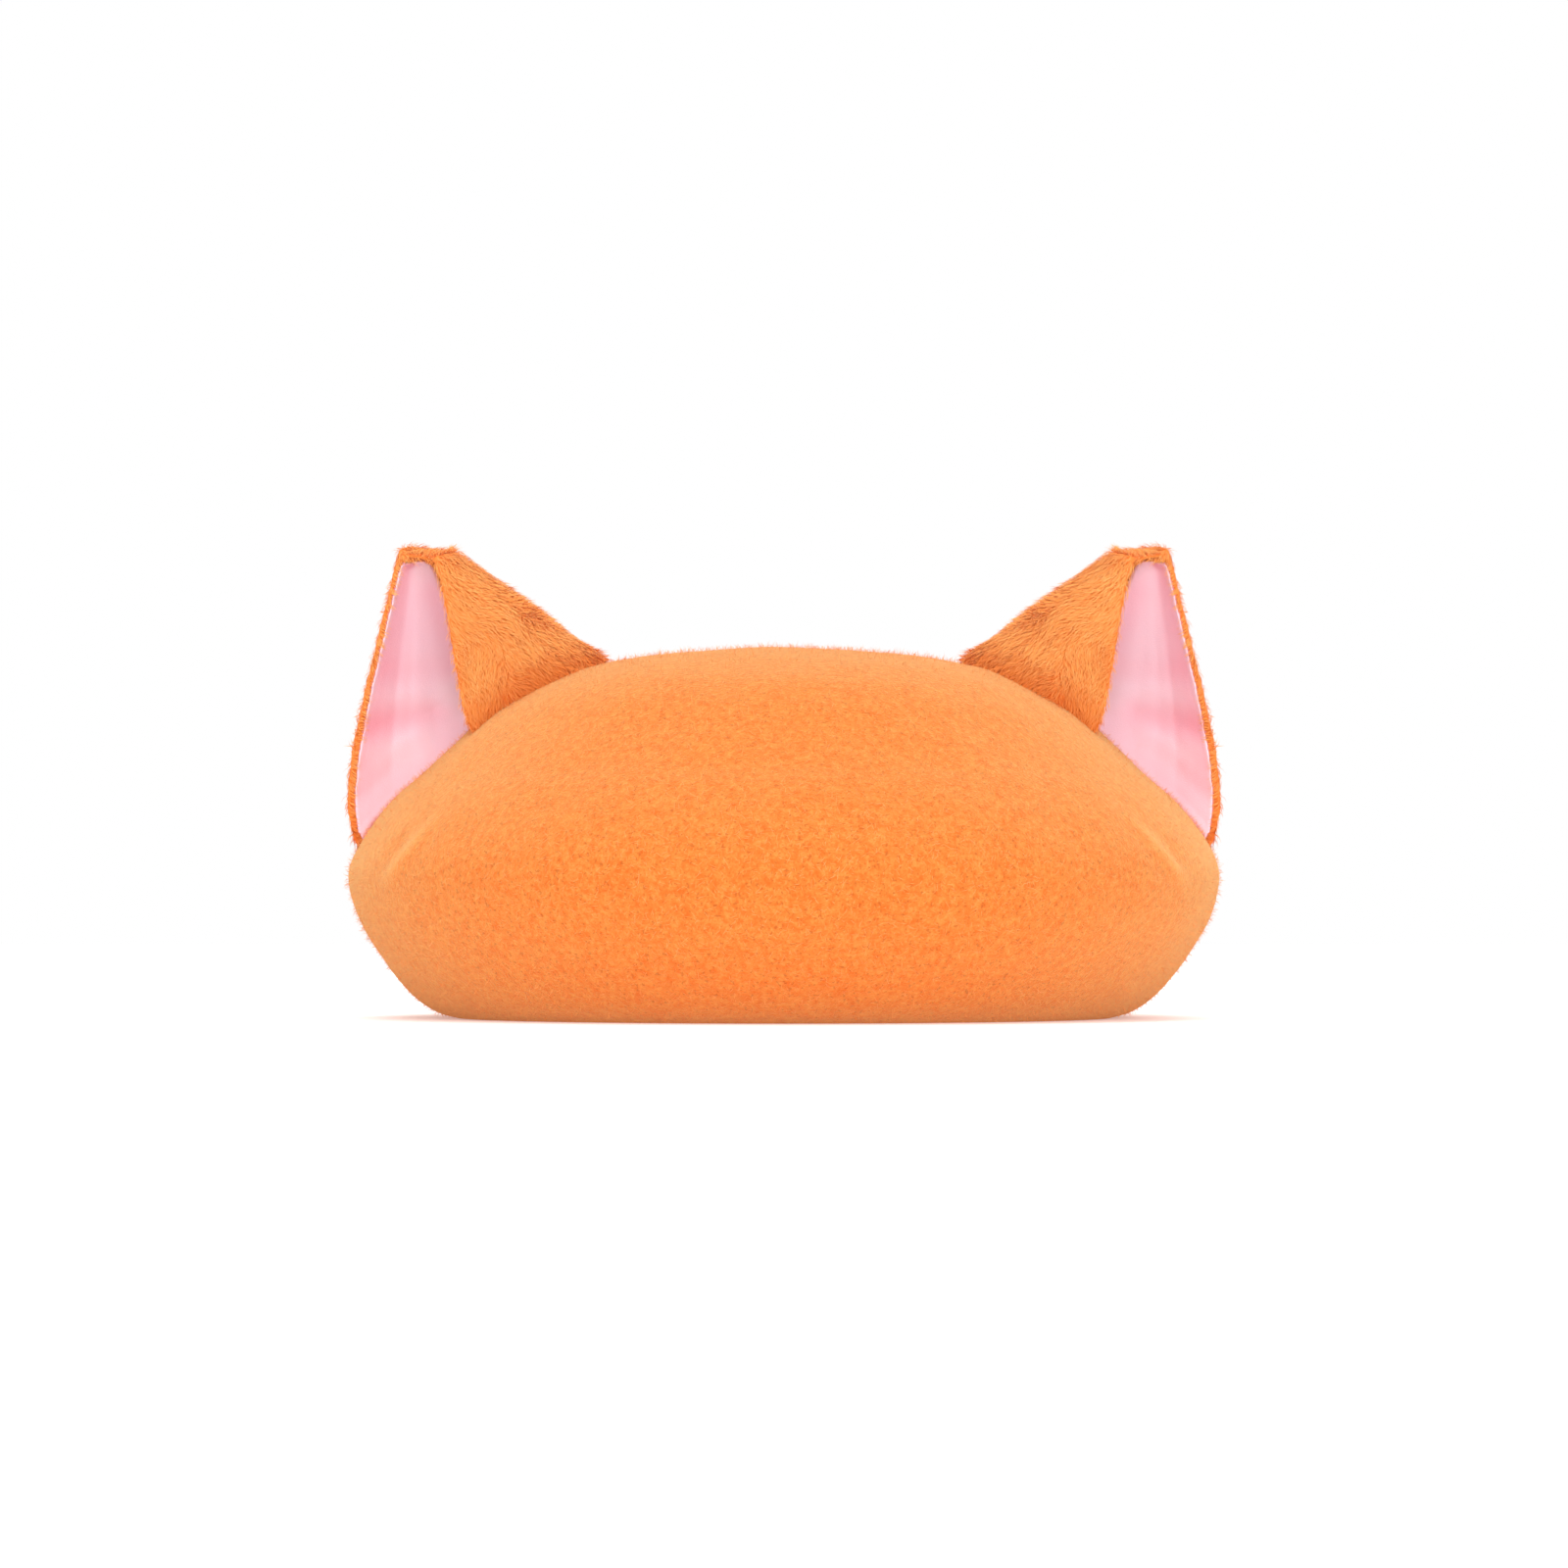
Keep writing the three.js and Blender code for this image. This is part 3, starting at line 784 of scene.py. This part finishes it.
def markPile(skin, lining, body):
    points, normals = pointsAndNormals(skin)
    over = np.zeros_like(points)   # how the pile leans over the velour's edge
    liningTree, bodyTree = treeOf(lining), treeOf(body)
    keep = np.ones(len(points))
    reach = np.ones(len(points))
    foot = np.zeros(len(points))
    for i, (point, normal) in enumerate(zip(points, normals)):
        place, _, _, away = liningTree.find_nearest(Vector(point), ear["nearLining"])
        if place is not None:
            behind = Vector(point) - Vector(normal) * ear["pileStart"]
            if liningTree.ray_cast(behind, Vector(normal), ear["liningClear"])[0] is not None:
                keep[i] = 0
            reach[i] = 1 - ear["shortBy"] + ear["shortBy"] * min(away / ear["shortReach"], 1)
            over[i] = (np.array(place) - point) / max(away, 1e-5) * max(1 - away / ear["edgeReach"], 0)
        place, _, _, away = bodyTree.find_nearest(Vector(point), ear["nearFelt"])
        if place is not None:
            facing = (place - Vector(point)).normalized().dot(Vector(normal))
            if away < ear["touch"] or (away < ear["underFelt"] and facing > ear["facing"]):
                keep[i] = 0
            # painted shade, deeper the closer the pile is to the felt
            foot[i] = max(1 - away / ear["footShadeReach"], 0) * ear["footShadeShare"]
    lay = np.zeros_like(points) + np.array((ear["napInward"], 0.0, -ear["napDown"]))
    tuft = np.stack([noiseAt(points, ear["tuftSize"], seed) for seed in (4, 5, 6)], axis=1)
    part = np.stack([noiseAt(points, ear["partSize"], seed) for seed in (7, 8, 9)], axis=1)
    lay = lay + tuft * ear["tuftLean"] + part * ear["partLean"]
    lay = lay + over * ear["edgeLean"]
    lay -= normals * np.sum(lay * normals, axis=1, keepdims=True)
    lay = unit(lay) * np.maximum(np.linalg.norm(lay, axis=1, keepdims=True), ear["leastLean"])
    keepValues(skin.data, "pile", keep)
    keepValues(skin.data, "foot", foot)
    keepValues(skin.data, "nap", lay)
    keepValues(skin.data, "reach", reach * (1 + ear["uneven"] * noiseAt(points, ear["unevenSize"], 12)))


velour = {
    "voxel": 0.0006, "smooth": 26,
    "sink": 0.0011, "flapSide": (-0.1, 0.3),     # it lies down into the pile, not into the flap in front
    "roll": 0.0008,                              # and rolls back a little where it turns away
    "borderStart": 0.0001, "borderDepth": (0.0022, 0.0045), "borderTuck": 0.0017,   # its edge is tucked in
    # the round top: middle of the arc as x and z, its radius, and the slopes cut there in degrees
    "tipMiddle": (-0.1168, 0.1398), "tipRadius": 0.0064, "tipCuts": (-66, -50, -33, -16, 0, 16, 33, 50, 66),
    # how far a face has to look forward to count as front, as lit and free of painted shade, and as not
    # rolled
    "front": (0.0, 0.4), "lit": (0.4, 0.9), "unrolled": (0.55, 0.97),
    "plainShade": 0.1, "turnedShade": 0.9,       # painted shade in the open and where the velour turns away or ends
    # soft creases: ends as x and z, then width, rise and painted shade along them (painted light where below
    # zero)
    "creases": [
        ((-0.131, 0.0925), (-0.113, 0.0975), 0.0045, -0.0008, 0.36),
        ((-0.13, 0.102), (-0.108, 0.104), 0.005, 0.0006, -0.2),
        ((-0.129, 0.084), (-0.118, 0.088), 0.005, 0.0006, -0.25),
        ((-0.126, 0.11), (-0.108, 0.1105), 0.005, -0.0003, 0.18),
        ((-0.1112, 0.135), (-0.0985, 0.105), 0.0055, -0.0003, 0.42),
    ],
}


def layOnFur(piece, fur):
    tree = treeOf(fur)
    points = readPoints(piece.data)
    for i, point in enumerate(points):
        place, _, _, away = tree.find_nearest(Vector(point))
        toward = (np.array(place) - point) / max(away, 1e-6)
        points[i] += toward * velour["sink"] * softStep(toward[1], *velour["flapSide"])
    writePoints(piece.data, points)


def borderShare(piece):
    tree = treeOf(piece)
    points, normals = pointsAndNormals(piece)
    depth = np.zeros(len(points))   # through the velour, short on its faces and long at its cut edge
    for i, (point, normal) in enumerate(zip(points, normals)):
        depth[i] = tree.ray_cast(Vector(point - normal * velour["borderStart"]), Vector(-normal))[3] or 0
    return softStep(depth, *velour["borderDepth"])


def makeLining():
    piece = copyOfNode("left_ear_lining", "leftEarVelour")
    cutRound(piece, velour["tipMiddle"], velour["tipRadius"], velour["tipCuts"])
    grain = piece.modifiers.new("even", "REMESH")
    grain.mode = "VOXEL"
    grain.voxel_size = velour["voxel"]
    grain.use_smooth_shade = True
    soft = piece.modifiers.new("soft", "SMOOTH")
    soft.factor = 0.5
    soft.iterations = velour["smooth"]
    makeActive(piece)
    bpy.ops.object.modifier_apply(modifier="even")
    layOnFur(piece, frame["nodes"]["left_ear_fur"])
    applyModifiers(piece)
    pressToFelt(piece, crownPiece)
    points, normals = pointsAndNormals(piece)
    rise = np.zeros(len(points))
    shade = np.zeros(len(points))
    for first, second, width, height, creaseShade in velour["creases"]:
        start, end = np.array(first), np.array(second)
        flat = points[:, [0, 2]]
        share = np.clip((flat - start) @ (end - start) / ((end - start) @ (end - start)), 0, 1)
        near = start + share[:, None] * (end - start)
        bell = np.exp(-np.sum((flat - near) ** 2, axis=1) / width ** 2)
        rise += height * bell
        # painted shade in each crease, or painted light where the value is below zero
        shade += creaseShade * bell
    front = softStep(-normals[:, 1], *velour["front"])
    # painted shade where the velour turns away from the front
    edge = 1 - softStep(-normals[:, 1], *velour["lit"])
    roll = front * (1 - softStep(-normals[:, 1], *velour["unrolled"])) * velour["roll"]
    border = borderShare(piece)
    roll += front * border * velour["borderTuck"]
    writePoints(piece.data, points + np.array((0, -1, 0)) * (rise * front - roll)[:, None])
    # painted shade on turned faces and along the cut edge
    deep = velour["plainShade"] + velour["turnedShade"] * np.maximum(edge, border)
    keepValues(piece.data, "shade", np.clip(shade + deep, 0, 1))
    piece.data.materials.clear()
    piece.data.materials.append(velourMaterial)
    return piece


skinPiece = makeSkin()
velourPiece = makeLining()
print("ear backing has", len(skinPiece.data.polygons), "faces, velour", len(velourPiece.data.polygons))
markPile(skinPiece, velourPiece, crownPiece)
pilePiece = growStrands(skinPiece, "leftEarPile", pile, pileMaterial)
rightPieces = [mirroredCopy(piece, piece.name.replace("left", "right"))
               for piece in (skinPiece, velourPiece, pilePiece)]
print("ears made")


# what each piece is made of and the part it stands for: each piece hangs from the root body and that part is
# hidden
for piece, slot, node in (
    (crownPiece, "felt", "crown"), (fuzzPiece, "felt", "crown"),
    (skinPiece, "ear_plush", "left_ear_fur"), (pilePiece, "ear_plush", "left_ear_fur"),
    (velourPiece, "ear_velour", "left_ear_lining"),
    (rightPieces[0], "ear_plush", "right_ear_fur"), (rightPieces[2], "ear_plush", "right_ear_fur"),
    (rightPieces[1], "ear_velour", "right_ear_lining"),
):
    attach(piece, "root")
    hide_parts(node)
